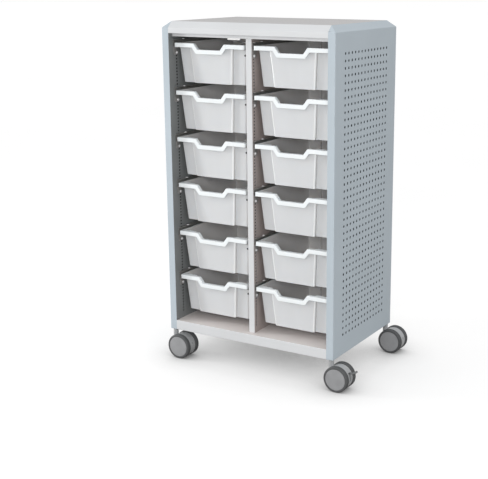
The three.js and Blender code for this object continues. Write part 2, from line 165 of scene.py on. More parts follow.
FOOT_FILLET_SHARE = 0.3
SHOULDER = -46.0
SIDE_STATIONS = (100.0, 0.0)
RIM_STATIONS = 10
RIM_STATION_PITCH = 2
RIM_LAST_STATION = 125.0
CORNER_STEPS = 7
SLANTING = 0.1
SIDEWAYS = 0.9
# How the wall turns into the rim: thickness taken off the wall and drop under the rim's top
WALL_TOP = ((0.0, 1.6), (0.5, 0.4), (1.6, 0.0))
# The rim from its top, over its edge and round its lip: distance in from the edge and drop
RIM_SECTION = (
    (1.4, 0.0), (0.4, 0.4), (0.0, 1.4), (0.0, RIM_LIP - 1.4), (0.4, RIM_LIP - 0.4),
    (1.25, RIM_LIP), (RIM_LIP_WALL, RIM_LIP - 0.5), (RIM_LIP_WALL, RIM_PLATE),
)

# Castors, in millimetres, about the stem's axis with the floor at zero. A packed wheel stands on a flat.
PACKED_WHEEL_RADIUS = 50
PACKED_WHEEL_SIDES = 24
AXLE_HEIGHT = PACKED_WHEEL_RADIUS * math.cos(math.pi / PACKED_WHEEL_SIDES)
SEAT_GAP = 0.3
TRAIL = 35.0
TREAD_RADIUS = 49.55
WHEEL_WIDTH = 20.0
WHEEL_SEAT = 17.5
HUB_RADIUS = 40.5
DRUM_RADIUS = 46.5
DRUM_HALF = 16.5
NECK_RADIUS = 10.0
STEM_RADIUS = 5.0
STEM_LENGTH = 28.0
AXLE_RADIUS = 4.0
AXLE_HALF = 34.2
NECK_TOP = PANEL_BOTTOM / MM - SEAT_GAP
PEDAL_ANGLE = math.radians(24.6)
PEDAL_ROOT = 24.0
PEDAL_TIP = 77.5
PEDAL_HALF_WIDTH = 8.0
PEDAL_HALF_THICKNESS = 2.0
PEDAL_PAD = 12
PEDAL_PAD_SLOPE = 0.12
PEDAL_RIBS = 4
PEDAL_RIB_START = 1
PEDAL_RIB_PITCH = 2.6
PEDAL_RIB = ((0, 0), (0.4, 0.5), (1.2, 0.5), (1.6, 0))
PEDAL_HOOK = ((-0.8, -3.3), (0, -2.5), (0, 2.7))
PEDAL_CORNER = 1.5
PEDAL_CORNER_LEAST = 2
PEDAL_SLOT = (-13.4, 31.6)
PEDAL_SLOT_STEPS = 6
PEDAL_SLOT_HALF_WIDTH = 8.5
PEDAL_SLOT_ROOT = PEDAL_ROOT - SEAT_GAP
PEDAL_SLOT_TIP = DRUM_RADIUS + 6
BLANK_HOLE_ANGLE = math.radians(15)
BLANK_HOLE = ((0, 36), (3.5, 36), (3.5, 52), (0, 52))
DRUM_FILLET = 2.0
DRUM_FILLET_STEPS = 4
STEM_CHAMFER = 1
# Groove and top of the neck: narrower by, and below its top
NECK_SECTION = ((0, 7), (0.8, 6.4), (0.8, 5.4), (0, 4.8), (0, 0.8), (0.8, 0))
# Wheel: how far outside the radius of tread or hub, and along the axle from the face or the groove
TREAD_GROOVES = (6.0, 10.0, 14.0)
TREAD_GROOVE = ((0, -1.0), (-0.9, -0.6), (-0.9, 0.6), (0, 1.0))
TREAD_INNER = ((-4.5, 0), (-2.6, 0.3), (-1.0, 1.2), (-0.2, 2.6))
TREAD_OUTER = ((-0.2, -2.6), (-1.2, -1.0), (-3.0, -0.1))
HUB_SEAM = ((1.6, 0), (0.9, -0.5), (0.5, -1.6), (0, -1.6), (-0.1, -0.6), (-0.7, -0.1), (-2.0, 0.15))
HUB_DOME = ((28, 0.55), (14, 0.85), (4, 0.95), (0, 0.95))
HUB_PAINT_EDGE = 0.2
HUB_BORE = 4.4
HUB_BORE_DEPTH = 17
ROUND_SEGMENTS = 96
STEM_SEGMENTS = 48
AXLE_SEGMENTS = 32
BLANK_HOLE_SEGMENTS = 24

# Textures: how fine they are, and how high their relief is
PAINT_DRIFT_SCALE = 4.0
PAINT_PEEL_SCALE = 1100.0
PAINT_RELIEF = 0.2 * MM
SPECKLE_SCALE = 420.0
SPECKLE_RELIEF = 0.3 * MM
FLOW_SCALE = 1.6
FLOW_STRETCH = (7.0, 7.0, 1.5)
TRAY_GRAIN_SCALE = 1500.0
TRAY_RELIEF = 0.1 * MM
TRAY_GLOW_COLOUR = (1.0, 0.9, 0.8)
TRAY_GLOW_REACH = 6 * MM
SPANGLE_SCALE = 260.0
MOTTLE_SCALE = 28.0
CASTOR_GRAIN_SCALE = 1300.0
CASTOR_RELIEF = 0.2 * MM

# Studio
FLOOR_HALF = 40
FLOOR_TONE_SCALE = 0.7
FLOOR_ROUGHNESS = 0.8
FLOOR_PAPER = ((0.29, 0.29, 0.29), (0.31, 0.31, 0.31))
FLOOR_BOUNCE = (0.42, 0.405, 0.39, 1)
FLOOR_GLOW = 0.71
# Reach and depth of the soft shadow under the unit and of the one where the wheels touch the floor
FLOOR_SHADOWS = ((0.45, 0.3), (0.15, 0.8))
SHADOW_SAMPLES = 10
ROOM_LIGHT = 0.83
SEEN_LIGHT = 1.0
# Lights: place, target, width and height, power
LIGHTS = {
    "front_softbox": ((1.6, -3.3, 1.6), (0, 0, 0.9), (0.8, 0.8), 40),
    "edge_strip": ((-3.0, -1.4, 1.0), (0, -0.2, 0.8), (0.3, 1.8), 45),
}
# The camera was fitted to the corners of the carcass in the photograph
CAMERA_PLACE = (2.0454, -3.4324, 1.5047)
CAMERA_TARGET = (0.2338, -0.250, 0.6079)
CAMERA_SENSOR = 36
CAMERA_LENS = 76.30
CAMERA_SHIFT = (-0.1168, -0.0264)


def add_node(tree, kind, inputs=None, **settings):
    """A node of a shader or geometry tree: sockets given as inputs are linked, other values are set."""
    made = tree.nodes.new(kind)
    for key, value in settings.items():
        setattr(made, key, value)
    for key, value in (inputs or {}).items():
        socket = made.inputs[key]
        if isinstance(value, bpy.types.NodeSocket):
            tree.links.new(value, socket)
        else:
            socket.default_value = value
    return made


def new_material(name):
    """A material with its tree, its shader and the coordinates of its textures."""
    material = bpy.data.materials.new(name)
    material.use_nodes = True
    tree = material.node_tree
    shader = tree.nodes["Principled BSDF"]
    place = add_node(tree, "ShaderNodeTexCoord").outputs["Object"]
    return material, tree, shader, place


def noise(tree, place, scale, detail=2.0, roughness=0.5):
    made = add_node(tree, "ShaderNodeTexNoise", {
        "Vector": place, "Scale": scale, "Detail": detail, "Roughness": roughness})
    return made.outputs["Fac"]


def shades(tree, share, dark, light, low=0.3, high=0.7):
    """A colour between two shades, following a texture's share."""
    ramp = add_node(tree, "ShaderNodeValToRGB", {"Fac": share})
    ramp.color_ramp.elements[0].position = low
    ramp.color_ramp.elements[0].color = (*dark, 1)
    ramp.color_ramp.elements[1].position = high
    ramp.color_ramp.elements[1].color = (*light, 1)
    return ramp.outputs["Color"]


def between(tree, share, low, high):
    made = add_node(tree, "ShaderNodeMapRange", {"Value": share, "To Min": low, "To Max": high})
    return made.outputs["Result"]


def relief(tree, height, strength, distance):
    made = add_node(tree, "ShaderNodeBump", {"Height": height, "Strength": strength, "Distance": distance})
    return made.outputs["Normal"]


def scaled(colour, factor):
    return tuple(min(1.0, channel * factor) for channel in colour)


def powder_coat(name, colour, roughness=0.5, drift=0.03, peel=0.08):
    """Satin powder coat: a slow drift of tone over each panel and a fine orange-peel relief."""
    material, tree, shader, place = new_material(name)
    tone = noise(tree, place, PAINT_DRIFT_SCALE)
    grain = noise(tree, place, PAINT_PEEL_SCALE, 3.0)
    paint = shades(tree, tone, scaled(colour, 1 - drift), scaled(colour, 1 + drift))
    tree.links.new(paint, shader.inputs["Base Color"])
    tree.links.new(between(tree, grain, roughness - 0.06, roughness + 0.06), shader.inputs["Roughness"])
    tree.links.new(relief(tree, grain, peel, PAINT_RELIEF), shader.inputs["Normal"])
    return material


def speckled_laminate(name, colour):
    """Light grey laminate of the top, with a fine speckle."""
    material, tree, shader, place = new_material(name)
    speckle = noise(tree, place, SPECKLE_SCALE, 4.0, 0.65)
    tone = shades(tree, speckle, scaled(colour, 0.88), scaled(colour, 1.1), 0.35, 0.65)
    tree.links.new(tone, shader.inputs["Base Color"])
    tree.links.new(between(tree, speckle, 0.5, 0.62), shader.inputs["Roughness"])
    tree.links.new(relief(tree, speckle, 0.08, SPECKLE_RELIEF), shader.inputs["Normal"])
    return material


def tray_moulding(name, colour, roughness, translucence=0.35):
    """White moulded plastic: faint flow marks and a satin grain."""
    material, tree, shader, place = new_material(name)
    stretch = add_node(tree, "ShaderNodeMapping", {"Vector": place, "Scale": FLOW_STRETCH})
    flow = noise(tree, stretch.outputs["Vector"], FLOW_SCALE, 3.0)
    grain = noise(tree, place, TRAY_GRAIN_SCALE)
    tone = shades(tree, flow, scaled(colour, 0.975), scaled(colour, 1.02))
    tree.links.new(tone, shader.inputs["Base Color"])
    tree.links.new(between(tree, grain, roughness - 0.05, roughness + 0.05), shader.inputs["Roughness"])
    tree.links.new(relief(tree, grain, 0.04, TRAY_RELIEF), shader.inputs["Normal"])
    shader.inputs["Subsurface Weight"].default_value = translucence
    shader.inputs["Subsurface Radius"].default_value = TRAY_GLOW_COLOUR
    shader.inputs["Subsurface Scale"].default_value = TRAY_GLOW_REACH
    return material


def galvanised(name, colour, roughness, metallic=0.75):
    """Zinc-plated steel with a fine spangle."""
    material, tree, shader, place = new_material(name)
    cells = add_node(tree, "ShaderNodeTexVoronoi", {"Vector": place, "Scale": SPANGLE_SCALE})
    spangle = add_node(tree, "ShaderNodeSeparateColor", {"Color": cells.outputs["Color"]}).outputs["Red"]
    zinc = shades(tree, spangle, scaled(colour, 0.85), scaled(colour, 1.1), 0.0, 1.0)
    tree.links.new(zinc, shader.inputs["Base Color"])
    tree.links.new(between(tree, spangle, roughness - 0.07, roughness + 0.07), shader.inputs["Roughness"])
    shader.inputs["Metallic"].default_value = metallic
    return material


def castor_plastic(name, colour, roughness, grain_strength=0.1):
    """Grey moulded plastic or rubber with a matt grain."""
    material, tree, shader, place = new_material(name)
    tone = noise(tree, place, MOTTLE_SCALE)
    grain = noise(tree, place, CASTOR_GRAIN_SCALE)
    mottled = shades(tree, tone, scaled(colour, 0.93), scaled(colour, 1.07))
    tree.links.new(mottled, shader.inputs["Base Color"])
    tree.links.new(between(tree, grain, roughness - 0.07, roughness + 0.07), shader.inputs["Roughness"])
    tree.links.new(relief(tree, grain, grain_strength, CASTOR_RELIEF), shader.inputs["Normal"])
    return material


# Painted shade: near-black for hidden inner faces, seen through holes and slots, where there is only shade
HOLLOW_PAINTED_SHADE = powder_coat("hollow_painted_shade", (0.018, 0.018, 0.019), 0.7)
SIDE_PAINT = powder_coat("side_blue_grey_paint", (0.483, 0.551, 0.604))
# Painted shade: the liners are darker than the side's blue-grey to stand in for the shade inside the bays
LINER_PAINTED_SHADE = powder_coat("liner_painted_shade", (0.205, 0.215, 0.216))
WHITE_PAINT = powder_coat("frame_white_paint", (0.67, 0.685, 0.70))
# Painted shade: warm dark grey for the divider's sides, which are the frame's white paint in the bays'
# shade
DIVIDER_SIDE_PAINTED_SHADE = powder_coat("divider_side_painted_shade", (0.39, 0.338, 0.322))
# Painted shade: warm grey for the base's top, which is the frame's white paint in shade under the trays
BASE_TOP_PAINTED_SHADE = powder_coat("base_top_painted_shade", (0.75, 0.70, 0.68))
# Painted light and shade: the back is lighter than the frame's white to stand in for light reaching it
# between the trays, and warm for the warm shade there
BACK_PAINTED_LIGHT_AND_SHADE = powder_coat("back_painted_light_and_shade", (0.92, 0.865, 0.84))
TOP_LAMINATE = speckled_laminate("top_grey_laminate", (0.54, 0.53, 0.53))
# The tray is one white plastic; the rim, inside, edge and step finishes below paint light and shade into
# copies of it
TRAY_BODY = tray_moulding("tray_body_white", (0.695, 0.71, 0.725), 0.38)
# Painted shade: a warm tint on the tray's inside, for the warm shade seen over the rims
TRAY_INSIDE_PAINTED_SHADE = tray_moulding("tray_inside_painted_shade", (0.88, 0.86, 0.848), 0.6)
# Painted light: the rim is whiter than the body because it catches more light than the set-back body
TRAY_RIM_PAINTED_LIGHT = tray_moulding("tray_rim_painted_light", (0.89, 0.935, 0.955), 0.25, 0.1)
# Painted highlight: the rounded nose of the end panel is near-white for the bright line that light draws
# along it
TRAY_EDGE_PAINTED_HIGHLIGHT = tray_moulding("tray_edge_painted_highlight", (0.95, 0.97, 0.98), 0.12, 0.1)
# Painted shade: the step walls beside the end panel are grey for the shade in the step
TRAY_STEP_PAINTED_SHADE = tray_moulding("tray_step_painted_shade", (0.58, 0.575, 0.57), 0.6, 0.1)
RUNNER_ZINC = galvanised("runner_zinc", (0.42, 0.41, 0.40), 0.45)
SCREW_ZINC = galvanised("screw_zinc", (0.88, 0.88, 0.89), 0.28, 0.3)
# Painted shade: the bolt ends are geometry, and their black stands in for the shaded gap beside the runners
# on the divider's left
BOLT_END_PAINTED_SHADE = castor_plastic("bolt_end_painted_shade", (0.02, 0.02, 0.02), 0.45)
CATCH_WHITE = powder_coat("catch_white", (0.9, 0.9, 0.9), 0.4)
HOUSING_GREY = castor_plastic("castor_housing_grey", (0.41, 0.42, 0.43), 0.45)
HUB_GREY = castor_plastic("castor_hub_grey", (0.31, 0.315, 0.325), 0.42)
TYRE_GREY = castor_plastic("castor_tyre_grey", (0.084, 0.087, 0.09), 0.6, 0.2)
PEDAL_GREY = castor_plastic("castor_pedal_grey", (0.2, 0.205, 0.21), 0.5)

TRAY_FINISHES = [TRAY_BODY, TRAY_RIM_PAINTED_LIGHT, TRAY_INSIDE_PAINTED_SHADE, TRAY_EDGE_PAINTED_HIGHLIGHT, TRAY_STEP_PAINTED_SHADE]
RIM, INSIDE, EDGE, STEP = range(1, 5)


def repaint(piece, finish, chosen):
    """Gives another finish to the faces that a test chooses; here it paints shade into their colour."""
    piece.data.materials.append(finish)
    for face in piece.data.polygons:
        if chosen(face):
            face.material_index = len(piece.data.materials) - 1


def settle(piece, body, replaced=()):
    """Shades a finished piece, ties it to its body and hides the nodes that it stands for."""
    piece.data.shade_smooth()
    piece.data.set_sharp_from_angle(angle=SMOOTH_ANGLE)
    keep_flat = piece.modifiers.new("keep_flat_faces_flat", "WEIGHTED_NORMAL")
    keep_flat.mode = "FACE_AREA"
    keep_flat.weight = 100
    keep_flat.keep_sharp = True
    make_plain(piece)
    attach(piece, body)
    if replaced:
        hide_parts(*replaced)


def new_object(name, solid, finishes=()):
    mesh = bpy.data.meshes.new(name)
    solid.to_mesh(mesh)
    solid.free()
    for finish in finishes:
        mesh.materials.append(finish)
    made = bpy.data.objects.new(name, mesh)
    bpy.context.scene.collection.objects.link(made)
    return made


def make_plain(made):
    """Turns an object's evaluated shape into a plain mesh and takes its modifiers off."""
    depsgraph = bpy.context.evaluated_depsgraph_get()
    depsgraph.update()
    mesh = bpy.data.meshes.new_from_object(made.evaluated_get(depsgraph))
    made.modifiers.clear()
    made.data = mesh


def cad_copy(node):
    """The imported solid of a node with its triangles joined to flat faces."""
    solid = bmesh.new()
    solid.from_mesh(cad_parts[node].data)
    bmesh.ops.remove_doubles(solid, verts=solid.verts, dist=1e-6)
    bmesh.ops.dissolve_limit(solid, angle_limit=FLAT_ANGLE, verts=solid.verts, edges=solid.edges)
    return solid


def boolean(base, tool, operation):
    """Joins or cuts one solid with another."""
    first = new_object("boolean_base", base)
    second = new_object("boolean_tool", tool)
    modifier = first.modifiers.new("boolean", "BOOLEAN")
    modifier.object = second
    modifier.operation = operation
    modifier.solver = "EXACT"
    make_plain(first)
    result = bmesh.new()
    result.from_mesh(first.data)
    for used in (first, second):
        mesh = used.data
        bpy.data.objects.remove(used)
        bpy.data.meshes.remove(mesh)
    return result


def runs_along(edge, axis):
    """Whether an edge lies along one of the three axes."""
    way = (edge.verts[1].co - edge.verts[0].co).normalized()
    return abs(way[axis]) > STRAIGHT


def round_bends(sheet, is_bend):
    """Rounds the outer bends of folded sheet: what is left lies inside a hull with rounded edges."""
    hull = bmesh.new()
    for vert in sheet.verts:
        hull.verts.new(vert.co)
    bmesh.ops.convex_hull(hull, input=hull.verts)
    bmesh.ops.delete(hull, geom=[v for v in hull.verts if not v.link_faces], context="VERTS")
    bmesh.ops.dissolve_limit(hull, angle_limit=FLAT_ANGLE, verts=hull.verts, edges=hull.edges)
    bends = [e for e in hull.edges if is_bend(e)]
    bmesh.ops.bevel(hull, geom=bends, offset=BEND_RADIUS, offset_type="OFFSET", segments=BEND_SEGMENTS,
                    profile=ROUND_PROFILE, affect="EDGES", clamp_overlap=True)
    bmesh.ops.recalc_face_normals(hull, faces=hull.faces)
    return boolean(sheet, hull, "INTERSECT")


def bridge(solid, rows):
    """Faces between each closed row of points and the next."""
    for lower, upper in zip(rows, rows[1:]):
        count = len(lower)
        for i in range(count):
            j = (i + 1) % count
            solid.faces.new((lower[i], lower[j], upper[j], upper[i]))


def rings_to_solid(rings):
    """A solid through rings of points, with a flat face over the first and the last."""
    solid = bmesh.new()
    rows = [[solid.verts.new(point) for point in ring] for ring in rings]
    bridge(solid, rows)
    solid.faces.new(rows[0])
    solid.faces.new(rows[-1])
    bmesh.ops.recalc_face_normals(solid, faces=solid.faces)
    return solid


def turned(profile, centre, axis, segments=ROUND_SEGMENTS):
    """A solid of revolution, in millimetres: (radius, distance along the axis) points from axis to axis."""
    side = Vector((1, 0, 0))
    up = axis.cross(side)
    solid = bmesh.new()
    rows = []
    for radius, along in profile[1:-1]:
        row = []
        for i in range(segments):
            angle = 2 * math.pi * (i + 0.5) / segments
            arm = (side * math.cos(angle) + up * math.sin(angle)) * radius
            row.append(solid.verts.new((centre + axis * along + arm) * MM))
        rows.append(row)
    bridge(solid, rows)
    for (_, along), row in ((profile[0], rows[0]), (profile[-1], rows[-1])):
        pole = solid.verts.new((centre + axis * along) * MM)
        for i in range(segments):
            solid.faces.new((row[i], row[(i + 1) % segments], pole))
    bmesh.ops.recalc_face_normals(solid, faces=solid.faces)
    return solid


def arc(x, y, radius, start, end, steps):
    """Points of an arc, angles in degrees."""
    points = []
    for i in range(steps + 1):
        angle = math.radians(start + (end - start) * i / steps)
        points.append((x + radius * math.cos(angle), y + radius * math.sin(angle)))
    return points


def prism_y(outline, low, high):
    """A solid from an outline of (x, z) points, in metres, between two places along Y."""
    return rings_to_solid([[Vector((x, y, z)) for x, z in outline] for y in (low, high)])


def moved(solid, offset):
    bmesh.ops.translate(solid, verts=solid.verts, vec=offset)
    return solid


def new_tree(name, inputs):
    """A geometry node tree with named inputs, each with its kind and default."""
    tree = bpy.data.node_groups.new(name, "GeometryNodeTree")
    tree.interface.new_socket("Geometry", in_out="INPUT", socket_type="NodeSocketGeometry")
    for label, (kind, default) in inputs.items():
        socket = tree.interface.new_socket(label, in_out="INPUT", socket_type=kind)
        if default is not None:
            socket.default_value = default
    tree.interface.new_socket("Geometry", in_out="OUTPUT", socket_type="NodeSocketGeometry")
    return tree, add_node(tree, "NodeGroupInput").outputs, add_node(tree, "NodeGroupOutput").inputs


def math_of(tree, operation, first, second):
    return add_node(tree, "ShaderNodeMath", {0: first, 1: second}, operation=operation).outputs[0]


def end_tree(tree, geometry, finish, sink):
    real = add_node(tree, "GeometryNodeRealizeInstances", {"Geometry": geometry})
    painted = add_node(tree, "GeometryNodeSetMaterial", {"Geometry": real.outputs[0], "Material": finish})
    tree.links.new(painted.outputs[0], sink["Geometry"])


def run_tree(made, tree, values):
    """Puts a tree on an object with its inputs set, and makes the result its plain mesh."""
    modifier = made.modifiers.new(tree.name, "NODES")
    modifier.node_group = tree
    for item in tree.interface.items_tree:
        if item.in_out == "INPUT" and item.name in values:
            modifier[item.identifier] = values[item.name]
    make_plain(made)


def perforation_tree():
    """Cuts a grid of round or longish holes through upright sheet that faces along X."""
    tree, given, sink = new_tree("perforation", {
        "Hole Height": ("NodeSocketFloat", 0.007),
        "Hole Length": ("NodeSocketFloat", 0.007),
        "Columns": ("NodeSocketInt", 2),
        "Rows": ("NodeSocketInt", 2),
        "Pitch Across": ("NodeSocketFloat", 0.026),
        "Pitch Up": ("NodeSocketFloat", 0.026),
        "Drill Length": ("NodeSocketFloat", 0.01),
        "Centre": ("NodeSocketVector", (0, 0, 0)),
        "Finish": ("NodeSocketMaterial", None),
    })
    width = math_of(tree, "MULTIPLY", math_of(tree, "SUBTRACT", given["Columns"], 1), given["Pitch Across"])
    height = math_of(tree, "MULTIPLY", math_of(tree, "SUBTRACT", given["Rows"], 1), given["Pitch Up"])
    grid = add_node(tree, "GeometryNodeMeshGrid", {
        "Size X": width, "Size Y": height, "Vertices X": given["Columns"], "Vertices Y": given["Rows"]})
    upright = add_node(tree, "GeometryNodeTransform", {
        "Geometry": grid.outputs["Mesh"], "Translation": given["Centre"],
        "Rotation": (math.pi / 2, 0, math.pi / 2)})
    drill = add_node(tree, "GeometryNodeMeshCylinder", {
        "Vertices": DRILL_SIDES, "Radius": 0.5, "Depth": 1.0})
    size = add_node(tree, "ShaderNodeCombineXYZ", {
        "X": given["Hole Height"], "Y": given["Hole Length"], "Z": given["Drill Length"]})
    level = add_node(tree, "GeometryNodeTransform", {
        "Geometry": drill.outputs["Mesh"], "Rotation": (0, math.pi / 2, 0), "Scale": size.outputs[0]})
    drills = add_node(tree, "GeometryNodeInstanceOnPoints", {
        "Points": upright.outputs[0], "Instance": level.outputs[0]})
    real = add_node(tree, "GeometryNodeRealizeInstances", {"Geometry": drills.outputs[0]})
    cut = add_node(tree, "GeometryNodeMeshBoolean", {
        "Mesh 1": given["Geometry"], "Mesh 2": real.outputs[0]}, operation="DIFFERENCE", solver="MANIFOLD")
    end_tree(tree, cut.outputs["Mesh"], given["Finish"], sink)
    return tree


def screw_tree():
    """Sets a domed head with a cross recess on each point, turned along the point's facing."""
    tree, given, sink = new_tree("screws", {
        "Diameter": ("NodeSocketFloat", 0.008),
        "Height": ("NodeSocketFloat", 0.003),
        "Crown": ("NodeSocketFloat", 0.75),
        "Recess": ("NodeSocketFloat", 0.4),
        "Finish": ("NodeSocketMaterial", None),
    })
    blank = add_node(tree, "GeometryNodeMeshCylinder", {
        "Vertices": HEAD_SIDES, "Side Segments": HEAD_STEPS, "Radius": 1.0, "Depth": 1.0})
    split = add_node(tree, "ShaderNodeSeparateXYZ", {
        "Vector": add_node(tree, "GeometryNodeInputPosition").outputs[0]}).outputs
    lift = math_of(tree, "ADD", split["Z"], 0.5)
    fall = math_of(tree, "MULTIPLY", math_of(tree, "POWER", lift, 2), given["Crown"])
    reach = math_of(tree, "SQRT", math_of(tree, "SUBTRACT", 1, fall), 0)
    domed = add_node(tree, "ShaderNodeCombineXYZ", {
        "X": math_of(tree, "MULTIPLY", split["X"], reach),
        "Y": math_of(tree, "MULTIPLY", split["Y"], reach),
        "Z": lift})
    head = add_node(tree, "GeometryNodeSetPosition", {
        "Geometry": blank.outputs["Mesh"], "Position": domed.outputs[0]})
    across = add_node(tree, "GeometryNodeMeshCube", {"Size": (RECESS_LENGTH, RECESS_WIDTH, 1.0)})
    along = add_node(tree, "GeometryNodeMeshCube", {"Size": (RECESS_WIDTH, RECESS_LENGTH, 1.0)})
    lower = add_node(tree, "ShaderNodeCombineXYZ", {"Z": math_of(tree, "SUBTRACT", 1.5, given["Recess"])})
    cutters = []
    for bar in (across, along):
        cutters.append(add_node(tree, "GeometryNodeTransform", {
            "Geometry": bar.outputs["Mesh"], "Translation": lower.outputs[0]}))
    cross = add_node(tree, "GeometryNodeMeshBoolean", {"Mesh 2": cutters[0].outputs[0]},
                     operation="UNION", solver="MANIFOLD")
    tree.links.new(cutters[1].outputs[0], cross.inputs["Mesh 2"])
    recessed = add_node(tree, "GeometryNodeMeshBoolean", {
        "Mesh 1": head.outputs[0], "Mesh 2": cross.outputs["Mesh"]},
        operation="DIFFERENCE", solver="MANIFOLD")
    radius = math_of(tree, "DIVIDE", given["Diameter"], 2)
    size = add_node(tree, "ShaderNodeCombineXYZ", {"X": radius, "Y": radius, "Z": given["Height"]})
    sized = add_node(tree, "GeometryNodeTransform", {
        "Geometry": recessed.outputs["Mesh"], "Scale": size.outputs[0]})
    facing = add_node(tree, "GeometryNodeInputNamedAttribute", {"Name": "facing"},
                      data_type="FLOAT_VECTOR")
    turn = add_node(tree, "FunctionNodeAlignRotationToVector", {
        "Vector": facing.outputs["Attribute"]}, axis="Z")
    heads = add_node(tree, "GeometryNodeInstanceOnPoints", {
        "Points": given["Geometry"], "Instance": sized.outputs[0], "Rotation": turn.outputs[0]})
    end_tree(tree, heads.outputs[0], given["Finish"], sink)
    return tree


def points_object(name, places):
    """Loose points, each with the way it faces."""
    mesh = bpy.data.meshes.new(name)
    mesh.from_pydata([tuple(place) for place, _ in places], [], [])
    facing = mesh.attributes.new("facing", "FLOAT_VECTOR", "POINT")
    for i, (_, way) in enumerate(places):
        facing.data[i].vector = way
    made = bpy.data.objects.new(name, mesh)
    bpy.context.scene.collection.objects.link(made)
    return made


PERFORATION = perforation_tree()
SCREWS = screw_tree()


def add_side_panels():
    """Folded side panels with round holes; their hidden inner faces are painted near-black as painted
    shade, so the holes read dark.
    """
    first_row = PANEL_BOTTOM + PERFORATION_FOOT
    first_column = FRONT + PERFORATION_FRONT
    middle_y = first_column + PERFORATION_PITCH * (PERFORATION_COLUMNS - 1) / 2
    middle_z = first_row + PERFORATION_PITCH * (PERFORATION_ROWS - 1) / 2
    for side, sign in COLUMNS.items():
        node = f"{side}_side_panel"
        sheet = round_bends(cad_copy(node), lambda edge: any(
            abs(vert.co.x) > INNER_WALL + CLOSE for vert in edge.verts))
        panel = new_object(f"{node}_perforated", sheet, [SIDE_PAINT])
        run_tree(panel, PERFORATION, {
            "Hole Height": PERFORATION_DIAMETER,
            "Hole Length": PERFORATION_DIAMETER,
            "Columns": PERFORATION_COLUMNS,
            "Rows": PERFORATION_ROWS,
            "Pitch Across": PERFORATION_PITCH,
            "Pitch Up": PERFORATION_PITCH,
            "Drill Length": PERFORATION_DRILL,
            "Centre": (sign * OUTER_FACE, middle_y, middle_z),
            "Finish": SIDE_PAINT,
        })
        middle = Vector((sign * (OUTER_FACE + INNER_WALL) / 2, 0, middle_z))
        # Painted shade: the sheet's inner faces and the hole walls that face the middle are near-black
        repaint(panel, HOLLOW_PAINTED_SHADE, lambda face: (middle - face.center).dot(face.normal) > 0
                and abs(face.center.x) < OUTER_FACE - SKIN)
        settle(panel, "carcass", [node])


def drill_runner_slots(sheet, setback, x, length, finish):
    """Cuts the front and the rear column of slots for the runners."""
    rise = RUNNER_SLOT_PITCH * (RUNNER_SLOT_ROWS - 1)
    middle_y = FRONT + setback + RUNNER_SLOT_SPREAD / 2
    middle_z = PANEL_BOTTOM + RUNNER_SLOT_FOOT + rise / 2
    run_tree(sheet, PERFORATION, {
        "Hole Height": RUNNER_SLOT_HEIGHT,
        "Hole Length": RUNNER_SLOT_LENGTH,
        "Columns": RUNNER_SLOT_COLUMNS,
        "Rows": RUNNER_SLOT_ROWS,
        "Pitch Across": RUNNER_SLOT_SPREAD,
        "Pitch Up": RUNNER_SLOT_PITCH,
        "Drill Length": length,
        "Centre": (x, middle_y, middle_z),
        "Finish": finish,
    })


def add_liners():
    """Inner walls of the side panels, slotted for the runners."""
    for side, sign in COLUMNS.items():
        node = f"{side}_liner"
        sheet = round_bends(cad_copy(node), lambda edge: runs_along(edge, UPWARDS)
                            and abs(edge.verts[0].co.x) < INNER_WALL + CLOSE)
        # The liner's dark grey is painted shade of the bay
        liner = new_object(f"{node}_drilled", sheet, [LINER_PAINTED_SHADE])
        drill_runner_slots(liner, LINER_SLOT_SETBACK, sign * INNER_WALL, LINER_DRILL, LINER_PAINTED_SHADE)
        # Painted shade: the liner's back, seen through the side panel's holes, is near-black
        repaint(liner, HOLLOW_PAINTED_SHADE, lambda face: abs(face.center.x) > INNER_WALL + SKIN)
        settle(liner, "carcass", [node])


def add_divider():
    """The box between the bays, slotted on both sides."""
    sheet = round_bends(cad_copy("centre_divider"), lambda edge: runs_along(edge, UPWARDS)
                        and edge.verts[0].co.y < DIVIDER_LOW.y + DIVIDER_FRONT)
    divider = new_object("centre_divider_drilled", sheet, [WHITE_PAINT])
    drill_runner_slots(divider, DIVIDER_SLOT_SETBACK, 0.0, DIVIDER_DRILL, WHITE_PAINT)
    # Painted shade: the divider's sides are darker and warmer than its white front
    repaint(divider, DIVIDER_SIDE_PAINTED_SHADE, lambda face: abs(face.center.x) > DIVIDER_HIGH.x - CLOSE)
    # Painted shade: the divider's hidden inside, seen through its slots, is near-black
    repaint(divider, HOLLOW_PAINTED_SHADE, lambda face: abs(face.center.x) < DIVIDER_HIGH.x - SKIN
            and face.center.y > DIVIDER_LOW.y + SKIN)
    settle(divider, "carcass", ["centre_divider"])


def add_top():
    """The top with its header: a speckled flat, and white paint elsewhere."""
    def is_bend(edge):
        place = edge.verts[0].co
        return runs_along(edge, ACROSS) and (abs(place.y) > REAR - CLOSE or place.z > TOP_HIGH.z - CLOSE)

    solid = round_bends(cad_copy("top_panel"), is_bend)
    for face in solid.faces:
        flat_top = face.normal.z > LEVEL and face.calc_center_median().z > TOP_HIGH.z - CLOSE
        face.material_index = 1 if flat_top else 0
    top = new_object("top_panel_folded", solid, [WHITE_PAINT, TOP_LAMINATE])
    settle(top, "carcass", ["top_panel"])


